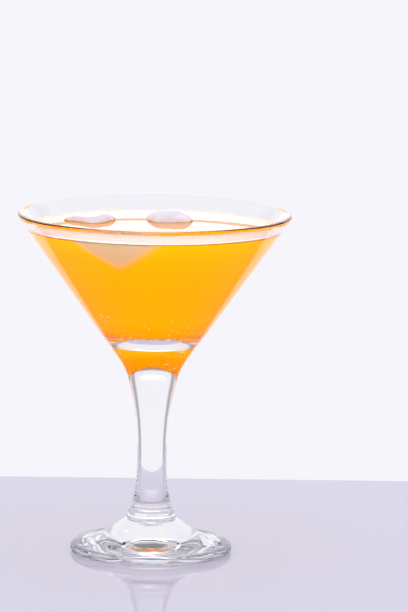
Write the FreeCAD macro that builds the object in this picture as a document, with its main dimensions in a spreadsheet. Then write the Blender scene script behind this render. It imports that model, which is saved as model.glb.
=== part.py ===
import FreeCAD, Part
import math
import os
import Sketcher

# A footed cone glass, pressed in one piece, filled with orange juice and two floating ice cubes.
# The glass stands on Z = 0 with its axis on Z. Millimetres throughout.
# A radius is measured from the axis, a height up from the table, a drop down from the rim.

SIZES = {
    # foot
    "foot_radius": 32.2,
    "foot_edge_height": 3.4,
    "rest_ring_width": 5.2,         # flat ring that the glass stands on, out to the foot's edge
    "punt_radius": 12.0,            # flat middle of the hollow underside
    "punt_height": 1.6,
    "shoulder_radius": 22.4,        # where the steep flank turns into the shallow brim of the foot
    "shoulder_height": 5.5,
    "collar_radius": 10.7,          # top of the flank, just outside the beads
    "collar_height": 13.2,
    # two beads between foot and stem
    "bead_height": 1.75,
    "bead_lip": 0.3,
    "groove_depth": 0.5,
    "lower_bead_radius": 9.85,
    "upper_bead_radius": 9.1,
    # stem
    "stem_base_radius": 8.7,
    "flare_radius": 6.95,
    "flare_height": 22.6,
    "waist_radius": 5.95,
    "waist_height": 30.5,
    "taper_drop": 82.5,             # the waist starts to widen here
    "root_radius": 10.6,            # where the widening stem meets the cone of the bowl
    "root_drop": 63.0,
    # bowl
    "mouth_radius": 55.2,           # the outer cone carried up to the rim
    "rim_height": 136.5,
    "wall": 2.7,                    # measured level, which is 2.2 square to the wall
    "bowl_depth": 49.7,
    "floor_flat_radius": 9.0,
    "floor_dish": 2.8,              # the floor's edge stands this much above its middle
    # drink
    "juice_drop": 5.3,
    # ice cubes, partly melted
    "ice_to_wall": 1.5,
    "ice_left_length": 20.5,
    "ice_left_width": 19.0,
    "ice_left_depth": 13.0,
    "ice_left_rounding": 5.2,
    "ice_left_above": 2.4,          # stands this much above the juice
    "ice_left_bearing": 152.5,      # degrees round the axis, from +X towards +Y
    "ice_right_length": 19.5,
    "ice_right_width": 18.5,
    "ice_right_depth": 14.5,
    "ice_right_rounding": 5.6,
    "ice_right_above": 3.6,
    "ice_right_bearing": 71.5,
    "ice_right_from_axis": 18.4,
}

# How each cube lies: turned about the vertical, then tipped along and across, in degrees.
ICE_LEFT_TURN = (150, 3, -3)
ICE_RIGHT_TURN = (9, -3, 4)


class Size:
    """A number together with the expression that works it out from the sheet."""

    def __init__(self, value, text):
        self.value = value
        self.text = text

    def __add__(self, other):
        return Size(self.value + other.value, f"({self.text} + {other.text})")

    def __sub__(self, other):
        return Size(self.value - other.value, f"({self.text} - {other.text})")

    def __mul__(self, other):
        return Size(self.value * other.value, f"({self.text} * {other.text})")

    def __truediv__(self, other):
        return Size(self.value / other.value, f"({self.text} / {other.text})")


def plain(value):
    return Size(value, str(value))


def smaller(first, second):
    return Size(min(first.value, second.value), f"min({first.text}; {second.text})")


def square_root(size):
    return Size(math.sqrt(size.value), f"sqrt({size.text})")


ZERO = plain(0)
HALF = plain(0.5)
named = {name: Size(value, f"<<sizes>>.{name}") for name, value in SIZES.items()}

# Heights that several pieces share
taper_height = named["rim_height"] - named["taper_drop"]
root_height = named["rim_height"] - named["root_drop"]
floor_height = named["rim_height"] - named["bowl_depth"]
floor_edge_height = floor_height + named["floor_dish"]
juice_level = named["rim_height"] - named["juice_drop"]

doc = FreeCAD.newDocument("juice_glass")


def fill_sheet():
    """One row per size: its name in column A, its value with that name as alias in column B."""
    sheet = doc.addObject("Spreadsheet::Sheet", "sizes")
    for row, (name, value) in enumerate(SIZES.items(), start=1):
        sheet.set(f"A{row}", name)
        sheet.set(f"B{row}", str(value))
        sheet.setAlias(f"B{row}", name)
    doc.recompute()


def bowl_radius(height):
    """Inner radius of the bowl's cone at a height. It runs level with the outer cone."""
    widening = named["mouth_radius"] - named["root_radius"]
    share = (height - root_height) / named["root_drop"]
    return named["root_radius"] + widening * share - named["wall"]


def run_length(start, end):
    """Straight distance between two corners."""
    across = end[0] - start[0]
    upward = end[1] - start[1]
    return square_root(across * across + upward * upward)


def arc_at(corner, before, after, reach):
    """Arc tangent to both runs of a corner, touching each of them at the reach from the corner."""
    back = (before - corner).normalize()
    ahead = (after - corner).normalize()
    half_angle = back.getAngle(ahead) / 2
    radius = reach * math.tan(half_angle)
    centre_distance = reach / math.cos(half_angle)
    middle = corner + (back + ahead).normalize() * (centre_distance - radius)
    return Part.Arc(corner + back * reach, middle, corner + ahead * reach)


def pin(sketch, geometry, position, corner):
    """Fix one point of the sketch at a corner's radius and height."""
    for size, kind, axis in zip(corner, ("DistanceX", "DistanceY"), (-2, -1)):
        if size is ZERO:
            sketch.addConstraint(Sketcher.Constraint("PointOnObject", geometry, position, axis))
            continue
        distance = Sketcher.Constraint(kind, -1, 1, geometry, position, size.value)
        index = sketch.addConstraint(distance)
        sketch.setExpression(f"Constraints[{index}]", size.text)


def round_corner(sketch, arc, line_in, line_out, corner, reach):
    """Make an arc tangent to its two lines, with the corner they aim at held by a point."""
    target = FreeCAD.Vector(corner[0].value, corner[1].value, 0)
    point = sketch.addGeometry(Part.Point(target), True)
    pin(sketch, point, 1, corner)
    line_end = sketch.getPoint(line_in, 2)
    starts_here = sketch.getPoint(arc, 1).distanceToPoint(line_end) < \
        sketch.getPoint(arc, 2).distanceToPoint(line_end)
    near, far = (1, 2) if starts_here else (2, 1)
    sketch.addConstraint([
        Sketcher.Constraint("Tangent", line_in, 2, arc, near),
        Sketcher.Constraint("Tangent", arc, far, line_out, 1),
        Sketcher.Constraint("PointOnObject", point, 1, line_in),
        Sketcher.Constraint("PointOnObject", point, 1, line_out),
    ])
    distance = Sketcher.Constraint("Distance", point, 1, line_in, 2, reach.value)
    index = sketch.addConstraint(distance)
    sketch.setExpression(f"Constraints[{index}]", reach.text)


def draw_outline(sketch, corners):
    """Closed outline through corners (radius, height, rounding). The rounding is the share that
    an arc takes of the shorter run beside its corner, 0 for a sharp corner. Two roundings on one
    run add up to less than 1, so that they never meet."""
    places = [FreeCAD.Vector(radius.value, height.value, 0) for radius, height, _ in corners]
    count = len(corners)
    runs = [run_length(corners[i], corners[(i + 1) % count]) for i in range(count)]
    arcs = {}
    for i, (_, _, rounding) in enumerate(corners):
        if rounding:
            reach = plain(rounding) * smaller(runs[i - 1], runs[i])
            after = places[(i + 1) % count]
            arcs[i] = (arc_at(places[i], places[i - 1], after, reach.value), reach)
    lines = []
    for i in range(count):
        start = places[i]
        end = places[(i + 1) % count]
        along = (end - start).normalize()
        if i in arcs:
            start = start + along * arcs[i][1].value
        if (i + 1) % count in arcs:
            end = end - along * arcs[(i + 1) % count][1].value
        lines.append(sketch.addGeometry(Part.LineSegment(start, end)))
    for i, corner in enumerate(corners):
        if i in arcs:
            arc, reach = arcs[i]
            arc_index = sketch.addGeometry(arc)
            round_corner(sketch, arc_index, lines[i - 1], lines[i], corner[:2], reach)
        else:
            meeting = Sketcher.Constraint("Coincident", lines[i - 1], 2, lines[i], 1)
            sketch.addConstraint(meeting)
            pin(sketch, lines[i], 1, corner[:2])


def turned_body(name, corners):
    """A body turned about Z from its outline in the XZ plane."""
    body = doc.addObject("PartDesign::Body", name)
    sketch = body.newObject("Sketcher::SketchObject", f"{name}_outline")
    plane = next(item for item in body.Origin.OriginFeatures if item.Role == "XZ_Plane")
    sketch.AttachmentSupport = [(plane, "")]
    sketch.MapMode = "FlatFace"
    draw_outline(sketch, corners)
    turning = body.newObject("PartDesign::Revolution", f"{name}_turned")
    turning.Profile = sketch
    turning.ReferenceAxis = (sketch, ["V_Axis"])
    turning.Angle = 360
    body.Tip = turning
    doc.recompute()
    return body


def foot_corners():
    """Hollow underside, resting ring, rounded edge and the flank up to the collar."""
    return [
        (ZERO, named["punt_height"], 0),
        (named["punt_radius"], named["punt_height"], 0.85),
        (named["foot_radius"] - named["rest_ring_width"], ZERO, 0.10),
        (named["foot_radius"], ZERO, 0.49),
        (named["foot_radius"], named["foot_edge_height"], 0.49),
        (named["shoulder_radius"], named["shoulder_height"], 0.49),
        (named["collar_radius"], named["collar_height"], 0.12),
    ]


def bead_corners():
    """Two stacked beads, each a lip between grooves."""
    corners = []
    level = named["collar_height"]
    for bead in (named["lower_bead_radius"], named["upper_bead_radius"]):
        top = level + named["bead_height"]
        corners.append((bead - named["groove_depth"], level, 0))
        corners.append((bead, level + named["bead_lip"], 0.45))
        corners.append((bead, top - named["bead_lip"], 0.45))
        level = top
    return corners


def stem_corners():
    """From the beads over the waist to the outer cone of the bowl."""
    stem_start = named["collar_height"] + named["bead_height"] + named["bead_height"]
    return [
        (named["stem_base_radius"], stem_start, 0),
        (named["flare_radius"], named["flare_height"], 0.45),
        (named["waist_radius"], named["waist_height"], 0.36),
        (named["waist_radius"], taper_height, 0.60),
        (named["root_radius"], root_height, 0.25),
    ]


def rim_corners():
    """Fire-rounded rim, from the outer cone over to the inner one."""
    return [
        (named["mouth_radius"], named["rim_height"], 0.68),
        (named["mouth_radius"] - named["wall"], named["rim_height"], 0.28),
    ]


def floor_corners():
    """Gently dished floor of the bowl, from the inner cone to the axis."""
    return [
        (bowl_radius(floor_edge_height), floor_edge_height, 0.14),
        (named["floor_flat_radius"], floor_height, 0.84),
        (ZERO, floor_height, 0),
    ]


def make_glass():
    corners = foot_corners() + bead_corners() + stem_corners() + rim_corners() + floor_corners()
    return turned_body("glass", corners)


def make_ice(name, from_axis, turn):
    """A cube with melted, rounded edges, floating with its top just above the juice."""
    length, width, depth, above, bearing = (
        named[f"{name}_{part}"] for part in ("length", "width", "depth", "above", "bearing"))
    body = doc.addObject("PartDesign::Body", name)
    block = body.newObject("PartDesign::AdditiveBox", f"{name}_block")
    block.setExpression("Length", length.text)
    block.setExpression("Width", width.text)
    block.setExpression("Height", depth.text)
    doc.recompute()
    melted = body.newObject("PartDesign::Fillet", f"{name}_melted")
    melted.Base = (block, [f"Edge{i + 1}" for i in range(len(block.Shape.Edges))])
    melted.setExpression("Radius", named[f"{name}_rounding"].text)
    body.Tip = melted
    rotation = FreeCAD.Rotation(*turn)
    block_middle = FreeCAD.Vector(length.value, width.value, depth.value) / 2
    offset = rotation.multVec(block_middle)
    middle_height = juice_level + named[f"{name}_above"] - depth * HALF
    body.Placement = FreeCAD.Placement(FreeCAD.Vector(), rotation)
    across = f"{from_axis.text} * cos({bearing.text} * 1 deg) - ({offset.x})"
    away = f"{from_axis.text} * sin({bearing.text} * 1 deg) - ({offset.y})"
    body.setExpression("Placement.Base.x", across)
    body.setExpression("Placement.Base.y", away)
    body.setExpression("Placement.Base.z", f"{middle_height.text} - ({offset.z})")
    doc.recompute()
    return body


def make_ice_cubes():
    """The left cube has drifted to the bowl's wall, the right one floats free."""
    left_bottom = juice_level + named["ice_left_above"] - named["ice_left_depth"]
    half_left = named["ice_left_length"] * HALF
    left_from_axis = bowl_radius(left_bottom) - named["ice_to_wall"] - half_left
    return [
        make_ice("ice_left", left_from_axis, ICE_LEFT_TURN),
        make_ice("ice_right", named["ice_right_from_axis"], ICE_RIGHT_TURN),
    ]


def make_juice(cubes):
    """The bowl's inside up to the juice level, cut round the ice."""
    surface = [(ZERO, juice_level, 0), (bowl_radius(juice_level), juice_level, 0)]
    filling = turned_body("bowl_filling", floor_corners() + surface)
    ice = doc.addObject("Part::MultiFuse", "ice")
    ice.Shapes = cubes
    juice = doc.addObject("Part::Cut", "juice")
    juice.Base = filling
    juice.Tool = ice
    doc.recompute()
    return juice


def check_all(pieces):
    """Stop if any object failed, or a piece is not one valid solid."""
    doc.recompute()
    for item in doc.Objects:
        if "Invalid" in item.State or "Error" in item.State:
            raise RuntimeError(f"{item.Label} failed: {item.State}")
    for piece in pieces:
        shape = piece.Shape
        if shape.isNull() or not shape.isValid() or len(shape.Solids) != 1:
            raise RuntimeError(f"{piece.Label} is not one valid solid")


def write_pieces(pieces):
    os.makedirs("parts", exist_ok=True)
    for piece in pieces:
        piece.Shape.exportStep(f"parts/{piece.Label}.step")
        box = piece.Shape.optimalBoundingBox(False, False)
        print(f"{piece.Label}: volume {piece.Shape.Volume:.0f} mm3, "
              f"Z {box.ZMin:.2f} to {box.ZMax:.2f}, X {box.XMin:.2f} to {box.XMax:.2f}, "
              f"Y {box.YMin:.2f} to {box.YMax:.2f}")


fill_sheet()
glass = make_glass()
ice_cubes = make_ice_cubes()
juice = make_juice(ice_cubes)
finished = [glass, juice, *ice_cubes]
check_all(finished)
write_pieces(finished)
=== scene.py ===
# A glass of orange juice: a pressed glass with a foot, double bead, drawn stem and cone bowl,
# filled nearly to the rim, with ice. Metres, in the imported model's frame: the glass stands on
# Z = 0, its axis on Z, and +Y points away from the front view's camera.
import math
import random

import bmesh
import bpy
from mathutils import Matrix, Vector, noise


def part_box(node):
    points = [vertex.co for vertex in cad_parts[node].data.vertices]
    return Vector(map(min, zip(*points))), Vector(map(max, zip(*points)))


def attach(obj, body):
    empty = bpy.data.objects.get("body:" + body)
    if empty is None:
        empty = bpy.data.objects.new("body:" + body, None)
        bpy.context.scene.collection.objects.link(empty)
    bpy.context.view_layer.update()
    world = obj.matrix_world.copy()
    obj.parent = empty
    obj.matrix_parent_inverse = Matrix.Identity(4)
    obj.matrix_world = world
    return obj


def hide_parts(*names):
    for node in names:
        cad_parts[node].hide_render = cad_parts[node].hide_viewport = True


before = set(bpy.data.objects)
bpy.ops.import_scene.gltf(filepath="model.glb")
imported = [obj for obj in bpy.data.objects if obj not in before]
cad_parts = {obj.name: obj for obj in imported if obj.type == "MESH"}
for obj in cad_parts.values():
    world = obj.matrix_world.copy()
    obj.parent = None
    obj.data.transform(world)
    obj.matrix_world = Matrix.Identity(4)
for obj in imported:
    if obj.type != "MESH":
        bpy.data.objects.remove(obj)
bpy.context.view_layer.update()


# ---- Camera -------------------------------------------------------------------------------
# A long lens at 1.8 m, above the rim's height, looking down about nine degrees. The small yaw
# and roll are those of a camera on a loosely levelled tripod.
CAMERA_DISTANCE = 1.8
CAMERA_HEIGHT = 0.3867
CAMERA_PITCH = math.radians(9.07)
CAMERA_YAW = math.radians(0.635)
CAMERA_ROLL = math.radians(0.821)
LENS_MM = 269.75
SENSOR_MM = 36.0

forward = Vector((math.sin(CAMERA_YAW) * math.cos(CAMERA_PITCH),
                  math.cos(CAMERA_YAW) * math.cos(CAMERA_PITCH),
                  -math.sin(CAMERA_PITCH)))
level_right = forward.cross(Vector((0, 0, 1))).normalized()
level_up = level_right.cross(forward)
roll_back = Matrix.Rotation(-CAMERA_ROLL, 3, forward)
lens = bpy.data.cameras.new("front_camera")
lens.lens = LENS_MM
lens.sensor_width = SENSOR_MM
camera = bpy.data.objects.new("front_camera", lens)
aim = Matrix((roll_back @ level_right, roll_back @ level_up, -forward)).transposed().to_4x4()
camera.matrix_world = Matrix.Translation((0, -CAMERA_DISTANCE, CAMERA_HEIGHT)) @ aim
bpy.context.scene.collection.objects.link(camera)
bpy.context.scene.camera = camera
bpy.context.scene.view_settings.view_transform = "Standard"


# ---- Studio -------------------------------------------------------------------------------
# A paper sweep all round, darker towards its four corners and dim overhead, and two bright
# diffuser panels, in front and behind, which the camera itself doesn't see. The juice mirrors
# them, which makes its surface pale, and the dim parts draw the glass's edges.
BACKDROP_HEX = "F6F5FB"
OVERHEAD_HEX = "EAEEF8"
SWEEP_GLOW = 1.0
CORNER_GLOW = 0.5
CORNER_STARTS = 0.46            # |x y| / (x x + y y) of a direction: 0.5 on a diagonal
CORNER_FULL = 0.495
OVERHEAD_GLOW = 0.3
OVERHEAD_STARTS = math.sin(math.radians(30))
OVERHEAD_FULL = 0.7
FILL_FROM_ABOVE = 2.0
FILL_FROM_BELOW = 4.5
HORIZON_BLEND = 0.05
HALF_A_BOUNCE = 0.5             # parts light that has met a matt surface from light that hasn't
PANEL_HEX = "E9F0FF"
PANEL_GLOW = 2.6
PANEL_TOP_GLOW = 1.85
PANEL_DISTANCE = 0.5
PANEL_HALF_WIDTH = 0.2
PANEL_LIT_HALF_WIDTH = 0.08
PANEL_BOTTOM = 0.175
PANEL_TOP = 0.25
PANEL_FADE_STARTS = 0.198
PANEL_FADE_ENDS = 0.212
GLASS_BOUNCES = 48
MIRROR_BOUNCES = 32
MATT_BOUNCES = 4


def linear(hex_colour):
    """An sRGB hex colour as the linear RGBA that shader sockets take."""
    channels = [int(hex_colour[i:i + 2], 16) / 255 for i in (0, 2, 4)]
    return (*[c / 12.92 if c <= 0.04045 else ((c + 0.055) / 1.055) ** 2.4 for c in channels], 1)


def add_node(tree, kind, inputs=(), **settings):
    """Add a shader node, set its properties, and set or link its inputs."""
    added = tree.nodes.new(kind)
    for name, value in settings.items():
        setattr(added, name, value)
    for socket, value in dict(inputs).items():
        if isinstance(value, bpy.types.NodeSocket):
            tree.links.new(value, added.inputs[socket])
        else:
            added.inputs[socket].default_value = value
    return added


def new_material(name):
    """An empty node material. Returns it with its tree."""
    material = bpy.data.materials.new(name)
    material.use_nodes = True
    material.node_tree.nodes.clear()
    return material, material.node_tree


def finish_piece(name, bm, material, smooth=True):
    """Turn a bmesh into an object in the scene, with its material and shading."""
    mesh = bpy.data.meshes.new(name)
    bm.to_mesh(mesh)
    bm.free()
    mesh.materials.append(material)
    if smooth:
        mesh.shade_smooth()
    else:
        mesh.shade_flat()
    piece = bpy.data.objects.new(name, mesh)
    bpy.context.scene.collection.objects.link(piece)
    return piece


world = bpy.data.worlds.new("studio")
world.use_nodes = True
tree = world.node_tree
tree.nodes.clear()
towards = add_node(tree, "ShaderNodeTexCoord")
axes = add_node(tree, "ShaderNodeSeparateXYZ", {0: towards.outputs["Generated"]})
product = add_node(tree, "ShaderNodeMath", {0: axes.outputs[0], 1: axes.outputs[1]},
                   operation="MULTIPLY")
x_squared = add_node(tree, "ShaderNodeMath", {0: axes.outputs[0], 1: axes.outputs[0]},
                     operation="MULTIPLY")
level_squared = add_node(tree, "ShaderNodeMath",
                         {0: axes.outputs[1], 1: axes.outputs[1], 2: x_squared.outputs[0]},
                         operation="MULTIPLY_ADD")
ratio = add_node(tree, "ShaderNodeMath", {0: product.outputs[0], 1: level_squared.outputs[0]},
                 operation="DIVIDE")
cornering = add_node(tree, "ShaderNodeMath", {0: ratio.outputs[0]}, operation="ABSOLUTE")
sweep = add_node(tree, "ShaderNodeMapRange",
                 {"Value": cornering.outputs[0],
                  "From Min": CORNER_STARTS, "From Max": CORNER_FULL,
                  "To Min": SWEEP_GLOW, "To Max": CORNER_GLOW}, interpolation_type="SMOOTHSTEP")
overhead = add_node(tree, "ShaderNodeMapRange",
                    {"Value": axes.outputs[2],
                     "From Min": OVERHEAD_STARTS, "From Max": OVERHEAD_FULL},
                    interpolation_type="SMOOTHSTEP")
seen = add_node(tree, "ShaderNodeMix",
                {0: overhead.outputs[0], 2: sweep.outputs[0], 3: OVERHEAD_GLOW})
fill = add_node(tree, "ShaderNodeMapRange",
                {"Value": axes.outputs[2], "From Min": -HORIZON_BLEND, "From Max": HORIZON_BLEND,
                 "To Min": FILL_FROM_BELOW, "To Max": FILL_FROM_ABOVE})
path = add_node(tree, "ShaderNodeLightPath")
lights_matt = add_node(tree, "ShaderNodeMath",
                       {0: path.outputs["Diffuse Depth"], 1: HALF_A_BOUNCE},
                       operation="GREATER_THAN")
strength = add_node(tree, "ShaderNodeMix",
                    {0: lights_matt.outputs[0], 2: seen.outputs[0], 3: fill.outputs[0]})
tone = add_node(tree, "ShaderNodeMix", {0: overhead.outputs[0], 6: linear(BACKDROP_HEX),
                                        7: linear(OVERHEAD_HEX)}, data_type="RGBA")
glow = add_node(tree, "ShaderNodeBackground",
                {"Color": tone.outputs[2], "Strength": strength.outputs[0]})
add_node(tree, "ShaderNodeOutputWorld", {"Surface": glow.outputs[0]})
bpy.context.scene.world = world

# Lamp-lit cloth, a little bluer than the sweep, weaker towards its top hem and fading out at its
# two ends, so that no hard-edged panel shows in the glass.
diffuser, tree = new_material("lit_diffuser_cloth")
place = add_node(tree, "ShaderNodeTexCoord")
height = add_node(tree, "ShaderNodeSeparateXYZ", {0: place.outputs["Object"]})
fading = add_node(tree, "ShaderNodeMapRange",
                  {"Value": height.outputs[2],
                   "From Min": PANEL_FADE_STARTS, "From Max": PANEL_FADE_ENDS,
                   "To Min": PANEL_GLOW, "To Max": PANEL_TOP_GLOW})
from_middle = add_node(tree, "ShaderNodeMath", {0: height.outputs[0]}, operation="ABSOLUTE")
ends = add_node(tree, "ShaderNodeMapRange",
                {"Value": from_middle.outputs[0],
                 "From Min": PANEL_LIT_HALF_WIDTH, "From Max": PANEL_HALF_WIDTH,
                 "To Min": 1.0, "To Max": 0.0}, interpolation_type="SMOOTHSTEP")
light = add_node(tree, "ShaderNodeEmission",
                 {"Color": linear(PANEL_HEX), "Strength": fading.outputs[0]})
unlit = add_node(tree, "ShaderNodeBsdfTransparent")
faded = add_node(tree, "ShaderNodeMixShader",
                 {0: ends.outputs[0], 1: unlit.outputs[0], 2: light.outputs[0]})
add_node(tree, "ShaderNodeOutputMaterial", {"Surface": faded.outputs[0]})
bm = bmesh.new()
for bearing in (0, math.pi):
    panel = bmesh.ops.create_grid(bm, x_segments=1, y_segments=1, size=0.5)["verts"]
    bmesh.ops.scale(bm, verts=panel, vec=(2 * PANEL_HALF_WIDTH, PANEL_TOP - PANEL_BOTTOM, 1))
    bmesh.ops.rotate(bm, verts=panel, matrix=Matrix.Rotation(math.pi / 2, 3, "X"))
    bmesh.ops.translate(bm, verts=panel,
                        vec=(0, PANEL_DISTANCE, (PANEL_TOP + PANEL_BOTTOM) / 2))
    bmesh.ops.rotate(bm, verts=panel, matrix=Matrix.Rotation(bearing, 3, "Z"))
panels = finish_piece("diffuser_panels", bm, diffuser, smooth=False)
panels.visible_camera = False

# Light goes through many walls of glass and liquid here, and none of them blurs it.
cycles = bpy.context.scene.cycles
cycles.max_bounces = GLASS_BOUNCES
cycles.transmission_bounces = GLASS_BOUNCES
cycles.glossy_bounces = MIRROR_BOUNCES
cycles.diffuse_bounces = MATT_BOUNCES
cycles.blur_glossy = 0.0


# ---- Table --------------------------------------------------------------------------------
# A pale lacquered board. Its far edge passes a hand's width behind the glass. What the glass and
# juice mirror of it is painted darker, a painted shade, so it doesn't wash out the juice.
MM = 0.001
TABLE_HALF_WIDTH = 0.25
TABLE_FAR_EDGE = 0.150
TABLE_NEAR_EDGE = -0.25
TABLE_THICKNESS = 0.03
TABLE_EDGE_ROUNDING = 0.002
TABLE_HEX = "A9A6B3"
TABLE_PATCH_HEX = "ABA8B5"
MIRRORED_TABLE_SHADE_HEX = "403E44"
LACQUER_PATCH = 45 * MM
LACQUER_IOR = 1.45
LACQUER_ROUGHNESS = (0.035, 0.055)

# Satin lacquer on board, rubbed by hand: an almost sharp mirror over a pale grey-lilac ground,
# with patches a hand's palm across that are a little more or less rubbed.
lacquer, tree = new_material("satin_lacquer")
place = add_node(tree, "ShaderNodeTexCoord")
patches = add_node(tree, "ShaderNodeTexNoise",
                   {"Vector": place.outputs["Object"], "Scale": 1 / LACQUER_PATCH, "Detail": 2.0})
ground = add_node(tree, "ShaderNodeMix", {0: patches.outputs[0], 6: linear(TABLE_HEX),
                                          7: linear(TABLE_PATCH_HEX)}, data_type="RGBA")
# Painted shade: what the glass and juice mirror of the board is painted a darker grey.
path = add_node(tree, "ShaderNodeLightPath")
painted_mirror_shade = add_node(tree, "ShaderNodeMix", {0: path.outputs["Is Reflection Ray"],
                                             6: ground.outputs[2],
                                             7: linear(MIRRORED_TABLE_SHADE_HEX)}, data_type="RGBA")
rubbing = add_node(tree, "ShaderNodeMapRange",
                   {"Value": patches.outputs[0],
                    "To Min": LACQUER_ROUGHNESS[0], "To Max": LACQUER_ROUGHNESS[1]})
surface = add_node(tree, "ShaderNodeBsdfPrincipled",
                   {"Base Color": painted_mirror_shade.outputs[2], "Roughness": rubbing.outputs[0],
                    "IOR": LACQUER_IOR})
add_node(tree, "ShaderNodeOutputMaterial", {"Surface": surface.outputs[0]})
bm = bmesh.new()
bmesh.ops.create_cube(bm, size=1)
bmesh.ops.scale(bm, verts=bm.verts, vec=(2 * TABLE_HALF_WIDTH,
                                         TABLE_FAR_EDGE - TABLE_NEAR_EDGE, TABLE_THICKNESS))
bmesh.ops.translate(bm, verts=bm.verts, vec=(0, (TABLE_FAR_EDGE + TABLE_NEAR_EDGE) / 2,
                                             -TABLE_THICKNESS / 2))
bmesh.ops.bevel(bm, geom=bm.edges[:], offset=TABLE_EDGE_ROUNDING, affect="EDGES", segments=3,
                profile=0.5, material=-1)
table = finish_piece("table", bm, lacquer, smooth=False)


# ---- Glass --------------------------------------------------------------------------------
# One piece of clear soda-lime glass: pressed foot and beads, drawn stem, blown cone bowl with a
# fire-polished rim. Its outline is the CAD glass's own, turned again in finer steps.
GLASS_HEX = "FCFDFD"
GLASS_IOR = 1.51
GLASS_ROUGHNESS = 0.0
GLASS_MIRROR = 0.12             # share of the straight-on mirror kept: painted shade for a dark room
PRESS_WAVE = 9 * MM
FOOT_WAVE_HEIGHT = 0.25 * MM
BOWL_WAVE_HEIGHT = 0.01 * MM
TURN_STEPS = 192
LONGEST_RUN = 2.5 * MM
SHARP_GROOVE = math.radians(35)
WELD = 0.001 * MM
SLIVER = 0.01 * MM
WALL_SLOPE = 0.1                # least upward part of a normal inside the bowl
FLOOR_SLOPE = 0.9               # the same on its nearly level floor


def cut_outline(node_name):
    """Half outline of a turned CAD node: what remains of it on the XZ plane, on the +X side."""
    bm = bmesh.new()
    bm.from_mesh(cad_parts[node_name].data)
    bmesh.ops.remove_doubles(bm, verts=bm.verts, dist=WELD)
    cut = bmesh.ops.bisect_plane(bm, geom=bm.verts[:] + bm.edges[:] + bm.faces[:],
                                 dist=WELD / 10, plane_co=(0, 0, 0), plane_no=(0, 1, 0))
    kept = {edge for edge in cut["geom_cut"] if isinstance(edge, bmesh.types.BMEdge)
            and all(vert.co.x > -WELD / 10 for vert in edge.verts)}
    bmesh.ops.delete(bm, geom=bm.faces[:], context="FACES_ONLY")
    bmesh.ops.delete(bm, geom=[edge for edge in bm.edges if edge not in kept], context="EDGES")
    for end in [vert for vert in bm.verts if len(vert.link_edges) == 1]:
        if end.co.x > SLIVER:
            bm.edges.new((end, bm.verts.new((0, 0, end.co.z))))
        else:
            end.co.x = 0
    return bm


def split_long_runs(bm, longest):
    """Divide the outline's straight runs, so that smooth shading stays true along them."""
    for edge in bm.edges[:]:
        cuts = int(edge.calc_length() / longest)
        if cuts:
            bmesh.ops.subdivide_edges(bm, edges=[edge], cuts=cuts)


def turn_outline(bm):
    """Spin the outline about the axis into a closed skin that faces outwards."""
    bmesh.ops.spin(bm, geom=bm.verts[:] + bm.edges[:], cent=(0, 0, 0), axis=(0, 0, 1),
                   dvec=(0, 0, 0), angle=2 * math.pi, steps=TURN_STEPS, use_merge=True,
                   use_duplicate=False)
    bmesh.ops.remove_doubles(bm, verts=bm.verts, dist=WELD / 2)
    bmesh.ops.recalc_face_normals(bm, faces=bm.faces)


# Soda-lime glass. It shows by bending what lies behind it and by its bright and dark edges. The
# mould leaves slow waves in the foot, which break up the lights in it, and next to none above.
clear_glass, tree = new_material("pressed_clear_glass")
place = add_node(tree, "ShaderNodeTexCoord")
wave = add_node(tree, "ShaderNodeTexNoise",
                {"Vector": place.outputs["Object"], "Scale": 1 / PRESS_WAVE, "Detail": 1.0})
height = add_node(tree, "ShaderNodeSeparateXYZ", {0: place.outputs["Object"]})
wave_height = add_node(tree, "ShaderNodeMapRange",
                       {"Value": height.outputs[2],
                        "From Min": 0, "From Max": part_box("juice")[0].z,
                        "To Min": FOOT_WAVE_HEIGHT, "To Max": BOWL_WAVE_HEIGHT})
bump = add_node(tree, "ShaderNodeBump", {"Height": wave.outputs[0], "Strength": 1.0,
                                         "Distance": wave_height.outputs[0]})
# The straight-on mirror is turned low: painted shade in the glass's reflections, for a dark room in
# front.
surface = add_node(tree, "ShaderNodeBsdfPrincipled",
                   {"Base Color": linear(GLASS_HEX), "Roughness": GLASS_ROUGHNESS,
                    "IOR": GLASS_IOR, "Transmission Weight": 1.0,
                    "Specular Tint": (GLASS_MIRROR, GLASS_MIRROR, GLASS_MIRROR, 1),
                    "Normal": bump.outputs[0]})
add_node(tree, "ShaderNodeOutputMaterial", {"Surface": surface.outputs[0]})

# The same glass where juice wets it, which takes its straight-on mirror away.
wetted_glass = clear_glass.copy()
wetted_glass.name = "wetted_clear_glass"
wetted_surface = next(n for n in wetted_glass.node_tree.nodes if n.type == "BSDF_PRINCIPLED")
wetted_surface.inputs["Specular Tint"].default_value = (0, 0, 0, 1)

bm = cut_outline("glass")
split_long_runs(bm, LONGEST_RUN)
turn_outline(bm)
juice_low, juice_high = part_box("juice")
for face in bm.faces:
    middle = face.calc_center_median()
    inwards = middle.xy.dot(face.normal.xy) < 0 or face.normal.z > FLOOR_SLOPE
    under_juice = juice_low.z - SLIVER < middle.z < juice_high.z
    if inwards and under_juice and face.normal.z > WALL_SLOPE:
        face.material_index = 1
glass = finish_piece("glass_skin", bm, clear_glass)
glass.data.materials.append(wetted_glass)
glass.data.set_sharp_from_angle(angle=SHARP_GROOVE)
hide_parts("glass")
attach(glass, "root")


# ---- Juice --------------------------------------------------------------------------------
# Orange juice, up to its level. Its outer millimetre is clear orange liquid, which reaches just
# into the wall, so that no air gap shows, and climbs it in a thin meniscus.
JUICE_IOR = 1.345
JUICE_ROUGHNESS = 0.0
JUICE_HEX = "FFC860"
JUICE_DENSITY = 120.0
WETTING = 0.15 * MM
MENISCUS_RISE = 0.15 * MM
MENISCUS_REACH = 1.2 * MM
JUICE_RUN = 1.0 * MM
RIPPLE = 6 * MM
RIPPLE_HEIGHT = 0.003 * MM
WALL_LEAN = math.atan(0.708)
level = juice_high.z
shore_radius = juice_high.x


def level_points(bm):
    """The vertices at the juice's level, from the axis outwards."""
    return sorted((vert for vert in bm.verts if vert.co.z > level - WELD),
                  key=lambda vert: vert.co.x)


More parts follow.
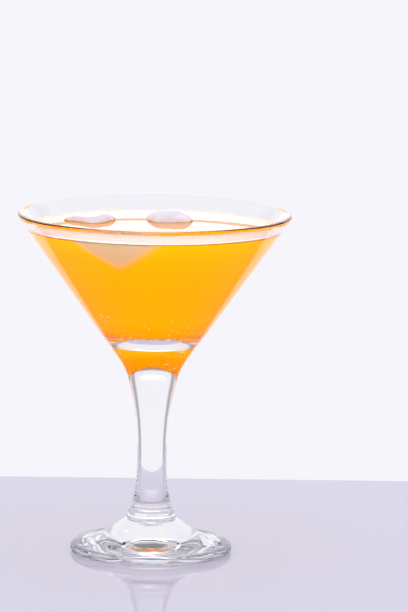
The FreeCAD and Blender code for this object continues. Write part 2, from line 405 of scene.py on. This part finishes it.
def juice_skin(inset, top_inset=0.0):
    """The juice's turned skin, moved in by an inset, or out where it is negative."""
    bm = cut_outline("juice")
    bmesh.ops.delete(bm, geom=level_points(bm)[1:-1], context="VERTS")
    centre, shore = level_points(bm)
    centre.co.x = 0
    bm.edges.new((shore, centre))
    split_long_runs(bm, JUICE_RUN)
    turn_outline(bm)
    bm.normal_update()
    for vert in bm.verts:
        radius = vert.co.xy.length
        shift = vert.normal * inset
        if vert.co.z > level - WELD:
            shift = Vector((0, 0, top_inset))
            if radius > shore_radius - SLIVER:
                outwards = Vector((vert.co.x / radius, vert.co.y / radius, 0))
                shift += outwards * (inset / math.cos(WALL_LEAN)
                                     + top_inset * math.tan(WALL_LEAN))
        vert.co -= shift
    return bm


# Juice with its pulp settled away: clear, deep yellow-orange, and still as a mirror but for a
# ripple too shallow to see. It gives the paler orange band along both sides of the bowl.
clear_juice, tree = new_material("clear_orange_juice")
place = add_node(tree, "ShaderNodeTexCoord")
ripple = add_node(tree, "ShaderNodeTexNoise",
                  {"Vector": place.outputs["Object"], "Scale": 1 / RIPPLE, "Detail": 1.0})
bump = add_node(tree, "ShaderNodeBump",
                {"Height": ripple.outputs[0], "Strength": 1.0, "Distance": RIPPLE_HEIGHT})
surface = add_node(tree, "ShaderNodeBsdfPrincipled",
                   {"Base Color": (1, 1, 1, 1), "Roughness": JUICE_ROUGHNESS,
                    "IOR": JUICE_IOR, "Transmission Weight": 1.0,
                    "Specular Tint": (0, 0, 0, 1), "Normal": bump.outputs[0]})
tint = add_node(tree, "ShaderNodeVolumeAbsorption",
                {"Color": linear(JUICE_HEX), "Density": JUICE_DENSITY})
add_node(tree, "ShaderNodeOutputMaterial",
         {"Surface": surface.outputs[0], "Volume": tint.outputs[0]})
bm = juice_skin(-WETTING)
for vert in bm.verts:
    if vert.co.z > level - WELD:
        from_shore = max(shore_radius - vert.co.xy.length, 0)
        vert.co.z = level + MENISCUS_RISE * math.exp(-from_shore / MENISCUS_REACH)
juice = finish_piece("juice_liquid", bm, clear_juice)
juice.data.set_sharp_from_angle(angle=SHARP_GROOVE)
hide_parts("juice")
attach(juice, "root")


# ---- Pulp ---------------------------------------------------------------------------------
# The cloudy body of the juice, where the pulp hides whatever is more than a millimetre deep. It
# stands just inside the clear skin. Beside a sunk lump of ice it is thin and pale.
PULP_DEPTH = 1.0 * MM
PULP_TOP = 0.2 * MM
PULP_HEX = "FFAE00"
PULP_FLECK_HEX = "FFBA00"
PULP_FLECK = 1.5 * MM
PULP_FOOT_SHADE_HEX = "E69600"
PULP_FOOT = (88 * MM, 97 * MM)
PULP_TOP_SHADE_HEX = "DEA026"
PULP_SURFACE_FACING = (0.5, 0.95)       # upward part of the normal, from side to surface
PULP_ROUGHNESS = 0.8
ICY_PULP_HEX = "B0AC98"
ICY_SHARE = 0.85
SUNK_ICE_EDGE = 24 * MM
SUNK_ICE_BEARING = math.radians(-109.2)
SUNK_ICE_LOW_POINT = 13.4 * MM
GLOW_DEPTH = 6 * MM
GLOW_REACH = 4.5 * MM
GLOW_HALF_ANGLE = math.radians(56)
GLOW_CORNER_SOFTNESS = 1.5 * MM

# Beside the sunk ice: where its lowest corner nears the wall, and the slope of the wall there.
wall_out = Vector((math.cos(SUNK_ICE_BEARING) * math.cos(WALL_LEAN),
                   math.sin(SUNK_ICE_BEARING) * math.cos(WALL_LEAN), -math.sin(WALL_LEAN)))
down_slope = (Vector((0, 0, -1)) + wall_out * wall_out.z).normalized()
along_slope = wall_out.cross(down_slope)
low_radius = shore_radius - SUNK_ICE_LOW_POINT * math.tan(WALL_LEAN)
low_point = Vector((low_radius * math.cos(SUNK_ICE_BEARING),
                    low_radius * math.sin(SUNK_ICE_BEARING), level - SUNK_ICE_LOW_POINT))

bm = juice_skin(PULP_DEPTH, PULP_TOP)
beside_ice = bm.verts.layers.float.new("beside_ice")
for vert in bm.verts:
    from_low = vert.co - low_point
    if abs(from_low.dot(wall_out)) > GLOW_DEPTH:
        continue
    across = math.hypot(from_low.dot(along_slope), GLOW_CORNER_SOFTNESS)
    upwards = -from_low.dot(down_slope)
    inside = upwards * math.sin(GLOW_HALF_ANGLE) - across * math.cos(GLOW_HALF_ANGLE)
    share = min(max(inside / GLOW_REACH, 0), 1)
    vert[beside_ice] = share * share * (3 - 2 * share)

# Cloudy juice: matt inside the liquid, bright orange with faint flecks, with painted shade deeper
# at the bowl's foot, where little light comes, and on its top; pale where ice stands behind it.
cloudy_juice, tree = new_material("cloudy_orange_juice")
place = add_node(tree, "ShaderNodeTexCoord")
flecks = add_node(tree, "ShaderNodeTexNoise",
                  {"Vector": place.outputs["Object"], "Scale": 1 / PULP_FLECK, "Detail": 2.0})
flecked = add_node(tree, "ShaderNodeMix", {0: flecks.outputs[0], 6: linear(PULP_HEX),
                                           7: linear(PULP_FLECK_HEX)}, data_type="RGBA")
height = add_node(tree, "ShaderNodeSeparateXYZ", {0: place.outputs["Object"]})
# Painted shade: the pulp is darker towards the bowl's foot.
risen = add_node(tree, "ShaderNodeMapRange",
                 {"Value": height.outputs[2],
                  "From Min": PULP_FOOT[0], "From Max": PULP_FOOT[1]})
side_tone_and_shade = add_node(tree, "ShaderNodeMix", {0: risen.outputs[0], 6: linear(PULP_FOOT_SHADE_HEX),
                                             7: flecked.outputs[2]}, data_type="RGBA")
facing = add_node(tree, "ShaderNodeNewGeometry")
facing_axes = add_node(tree, "ShaderNodeSeparateXYZ", {0: facing.outputs["Normal"]})
# Painted shade: faces that look up, the juice's surface, are painted a deeper orange.
top_shade_share = add_node(tree, "ShaderNodeMapRange",
                      {"Value": facing_axes.outputs[2],
                       "From Min": PULP_SURFACE_FACING[0], "From Max": PULP_SURFACE_FACING[1]})
shade = add_node(tree, "ShaderNodeMix", {0: top_shade_share.outputs[0], 6: side_tone_and_shade.outputs[2],
                                         7: linear(PULP_TOP_SHADE_HEX)}, data_type="RGBA")
glow_map = add_node(tree, "ShaderNodeAttribute", attribute_name="beside_ice")
icy_share = add_node(tree, "ShaderNodeMath", {0: glow_map.outputs["Fac"], 1: ICY_SHARE},
                     operation="MULTIPLY")
icy = add_node(tree, "ShaderNodeMix", {0: icy_share.outputs[0], 6: shade.outputs[2],
                                       7: linear(ICY_PULP_HEX)}, data_type="RGBA")
surface = add_node(tree, "ShaderNodeBsdfPrincipled",
                   {"Base Color": icy.outputs[2], "Roughness": PULP_ROUGHNESS,
                    "IOR": JUICE_IOR, "Specular IOR Level": 0.0})
add_node(tree, "ShaderNodeOutputMaterial", {"Surface": surface.outputs[0]})
pulp = finish_piece("juice_pulp", bm, cloudy_juice)
pulp.data.set_sharp_from_angle(angle=SHARP_GROOVE)
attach(pulp, "root")


# ---- Ice ----------------------------------------------------------------------------------
# Two half-melted cubes that float at the far side with their tops out of the juice: clear ice
# outside, cloudy with trapped air in the middle. Length, width and depth are before the turn.
ICE_SIZES = {"ice_left": (20.5 * MM, 19 * MM, 13 * MM),
             "ice_right": (19.5 * MM, 18.5 * MM, 14.5 * MM)}
ICE_TURNS = {"ice_left": (150, 3, -3), "ice_right": (9, -3, 4)}     # degrees about Z, Y and X
ICE_CUTS = 11
ICE_ROUNDING = 0.8              # share of the smallest half size
ICE_LUMP = 5 * MM
ICE_SEED_STEP = 7.3
CLEAR_LUMP_HEIGHT = 0.5 * MM
CLOUD_LUMP_HEIGHT = 1.0 * MM
CLOUD_SHARE = 0.9
ICE_IOR = 1.31
CLEAR_ICE_HEX = "F7F9FA"
WET_ICE_ROUGHNESS = 0.08
MELT_RIPPLE = 4 * MM
MELT_RIPPLE_HEIGHT = 0.4 * MM
MELT_RIPPLE_STRENGTH = 0.3
VEIL = 3 * MM
VEIL_HEX = "DAD8DC"
CLOUD_IN_AIR_HEX = "D4D0D4"
CLOUD_JUICE_LIGHT_HEX = "C8A292"
CLOUD_CLEARS = 2.5 * MM
CLOUD_ROUGHNESS = 0.9


def melted_cube(sizes, lump_height, seed):
    """A cube, subdivided, rounded at its edges and melted back unevenly."""
    bm = bmesh.new()
    bmesh.ops.create_cube(bm, size=1)
    bmesh.ops.subdivide_edges(bm, edges=bm.edges[:], cuts=ICE_CUTS, use_grid_fill=True)
    bmesh.ops.scale(bm, verts=bm.verts, vec=sizes)
    half = Vector(sizes) / 2
    rounding = min(half) * ICE_ROUNDING
    for vert in bm.verts:
        core = Vector([max(-h + rounding, min(h - rounding, c)) for h, c in zip(half, vert.co)])
        vert.co = core + (vert.co - core).normalized() * rounding
    bm.normal_update()
    for vert in bm.verts:
        lump = noise.noise(vert.co / ICE_LUMP + Vector((seed, 0, 0)))
        vert.co -= vert.normal * lump_height * (0.5 + 0.5 * lump)
    bmesh.ops.recalc_face_normals(bm, faces=bm.faces)
    return bm


# Wet, melting ice: clear, with a soft gloss and shallow ripples where it has run.
clear_ice, tree = new_material("melting_clear_ice")
place = add_node(tree, "ShaderNodeTexCoord")
ripple = add_node(tree, "ShaderNodeTexNoise",
                  {"Vector": place.outputs["Object"], "Scale": 1 / MELT_RIPPLE, "Detail": 2.0})
bump = add_node(tree, "ShaderNodeBump",
                {"Height": ripple.outputs[0], "Strength": MELT_RIPPLE_STRENGTH,
                 "Distance": MELT_RIPPLE_HEIGHT})
surface = add_node(tree, "ShaderNodeBsdfPrincipled",
                   {"Base Color": linear(CLEAR_ICE_HEX), "Roughness": WET_ICE_ROUGHNESS,
                    "IOR": ICE_IOR, "Transmission Weight": 1.0, "Normal": bump.outputs[0]})
add_node(tree, "ShaderNodeOutputMaterial", {"Surface": surface.outputs[0]})

# Ice full of fine air: matt, pale lilac-white with veils; in the juice, painted orange light.
cloudy_ice, tree = new_material("cloudy_ice")
place = add_node(tree, "ShaderNodeTexCoord")
veil = add_node(tree, "ShaderNodeTexNoise",
                {"Vector": place.outputs["Object"], "Scale": 1 / VEIL, "Detail": 3.0})
height = add_node(tree, "ShaderNodeSeparateXYZ", {0: place.outputs["Object"]})
# Painted light: at and below the juice's level the ice is painted warm, for orange light from the
# juice.
in_air = add_node(tree, "ShaderNodeMapRange",
                  {"Value": height.outputs[2], "From Min": level, "From Max": level + CLOUD_CLEARS},
                  interpolation_type="SMOOTHSTEP")
juice_lit = add_node(tree, "ShaderNodeMix", {0: in_air.outputs[0], 6: linear(CLOUD_JUICE_LIGHT_HEX),
                                          7: linear(CLOUD_IN_AIR_HEX)}, data_type="RGBA")
veiled = add_node(tree, "ShaderNodeMix", {0: veil.outputs[0], 6: juice_lit.outputs[2],
                                          7: linear(VEIL_HEX)}, data_type="RGBA")
surface = add_node(tree, "ShaderNodeBsdfPrincipled",
                   {"Base Color": veiled.outputs[2], "Roughness": CLOUD_ROUGHNESS,
                    "Specular IOR Level": 0.0})
add_node(tree, "ShaderNodeOutputMaterial", {"Surface": surface.outputs[0]})

for seed, node_name in enumerate(ICE_SIZES):
    low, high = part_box(node_name)
    about_z, about_y, about_x = (math.radians(angle) for angle in ICE_TURNS[node_name])
    turn = (Matrix.Rotation(about_z, 3, "Z") @ Matrix.Rotation(about_y, 3, "Y")
            @ Matrix.Rotation(about_x, 3, "X"))
    for layer, share, material, lump_height in (
            ("clear", 1.0, clear_ice, CLEAR_LUMP_HEIGHT),
            ("cloud", CLOUD_SHARE, cloudy_ice, CLOUD_LUMP_HEIGHT)):
        sizes = Vector(ICE_SIZES[node_name]) * share
        bm = melted_cube(sizes, lump_height, ICE_SEED_STEP * seed + share)
        bmesh.ops.rotate(bm, verts=bm.verts, matrix=turn)
        bmesh.ops.translate(bm, verts=bm.verts, vec=(Vector(low) + Vector(high)) / 2)
        piece = finish_piece(f"{node_name}_{layer}", bm, material)
        if layer == "clear":
            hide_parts(node_name)
        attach(piece, "root")


# ---- Sunk ice -----------------------------------------------------------------------------
# A third lump, just under the surface at the front left, with one corner down towards the wall
# and a flat melted top. The pulp in front of it hides its outline and shows its pale glow.
SUNK_ICE_THICKNESS = 0.6 * SUNK_ICE_EDGE
SUNK_ICE_SIZES = (SUNK_ICE_EDGE, SUNK_ICE_EDGE, SUNK_ICE_THICKNESS)
SUNK_CORNER_CUT = 4 * MM        # what rounding takes off the low corner
SUNK_ICE_DEPTH = 3.6 * MM       # from the wall to the ice
SUNK_ICE_TOP = level - 2 * PULP_TOP
SUNK_LUMP_HEIGHT = 0.3 * MM
SUNK_ICE_SEED = 31.7

bm = melted_cube(SUNK_ICE_SIZES, SUNK_LUMP_HEIGHT, SUNK_ICE_SEED)
bmesh.ops.rotate(bm, verts=bm.verts, matrix=Matrix.Rotation(math.pi / 4, 3, "Z"))
bmesh.ops.rotate(bm, verts=bm.verts,
                 matrix=Matrix((along_slope, down_slope, wall_out)).transposed())
corner_reach = SUNK_ICE_EDGE / math.sqrt(2) - SUNK_CORNER_CUT
bmesh.ops.translate(bm, verts=bm.verts,
                    vec=low_point - down_slope * corner_reach
                    - wall_out * (SUNK_ICE_THICKNESS / 2 + SUNK_ICE_DEPTH))
bmesh.ops.bisect_plane(bm, geom=bm.verts[:] + bm.edges[:] + bm.faces[:],
                       plane_co=(0, 0, SUNK_ICE_TOP), plane_no=(0, 0, 1), clear_outer=True)
bmesh.ops.holes_fill(bm, edges=[edge for edge in bm.edges if edge.is_boundary], sides=0)
bmesh.ops.recalc_face_normals(bm, faces=bm.faces)
sunk_ice = finish_piece("ice_sunk", bm, cloudy_ice)
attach(sunk_ice, "root")


# ---- Bubbles ------------------------------------------------------------------------------
# Fine air bubbles that cling to the bowl's floor and to the wall just above it, in the clear
# outer liquid, most of them low down.
BUBBLE_SEED = 5
BUBBLE_COUNT = 300
BUBBLE_SIZES = (0.12 * MM, 0.3 * MM)
BUBBLE_TOP = 100 * MM
BUBBLE_GAP = 0.1 * MM
BUBBLE_CROWDING = 1.3
BUBBLE_PLACES = 0.4 * MM
BUBBLE_LEAST_RADIUS = 1 * MM
# Painted reflection: the bubbles' mirror as a warm white colour, with painted white glints.
BUBBLE_WARM_REFLECTION_HEX = "FFE9B8"
BUBBLE_PAINTED_GLINT_HEX = "FFFFFF"
BUBBLE_GLINT = 2 * MM
BUBBLE_ROUGHNESS = 0.15

# The skin of an air bubble in juice: it mirrors like silver, here a painted reflection: glossy
# white with painted white glints, some of it painted warm as a reflection of the orange round it.
air, tree = new_material("air_bubble_skin")
place = add_node(tree, "ShaderNodeTexCoord")
painted_glints = add_node(tree, "ShaderNodeTexNoise",
                 {"Vector": place.outputs["Object"], "Scale": 1 / BUBBLE_GLINT, "Detail": 1.0})
painted_reflection = add_node(tree, "ShaderNodeMix", {0: painted_glints.outputs[0], 6: linear(BUBBLE_WARM_REFLECTION_HEX),
                                         7: linear(BUBBLE_PAINTED_GLINT_HEX)}, data_type="RGBA")
surface = add_node(tree, "ShaderNodeBsdfPrincipled",
                   {"Base Color": painted_reflection.outputs[2], "Roughness": BUBBLE_ROUGHNESS,
                    "IOR": JUICE_IOR})
add_node(tree, "ShaderNodeOutputMaterial", {"Surface": surface.outputs[0]})

dice = random.Random(BUBBLE_SEED)
wall_line = cut_outline("juice")
split_long_runs(wall_line, BUBBLE_PLACES)
places = sorted((vert.co.z, vert.co.x) for vert in wall_line.verts
                if vert.co.z < BUBBLE_TOP and vert.co.x > BUBBLE_LEAST_RADIUS)
wall_line.free()
bm = bmesh.new()
for _ in range(BUBBLE_COUNT):
    size = dice.uniform(*BUBBLE_SIZES)
    z, radius = places[int(len(places) * dice.random() ** BUBBLE_CROWDING)]
    bearing = dice.uniform(0, math.tau)
    inwards = Vector((-radius, BUBBLE_TOP - z)).normalized() * (size + BUBBLE_GAP)
    spot = Vector(((radius + inwards.x) * math.cos(bearing),
                   (radius + inwards.x) * math.sin(bearing), z + inwards.y))
    bmesh.ops.create_icosphere(bm, subdivisions=1, radius=size, matrix=Matrix.Translation(spot))
bubbles = finish_piece("bubbles", bm, air)
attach(bubbles, "root")
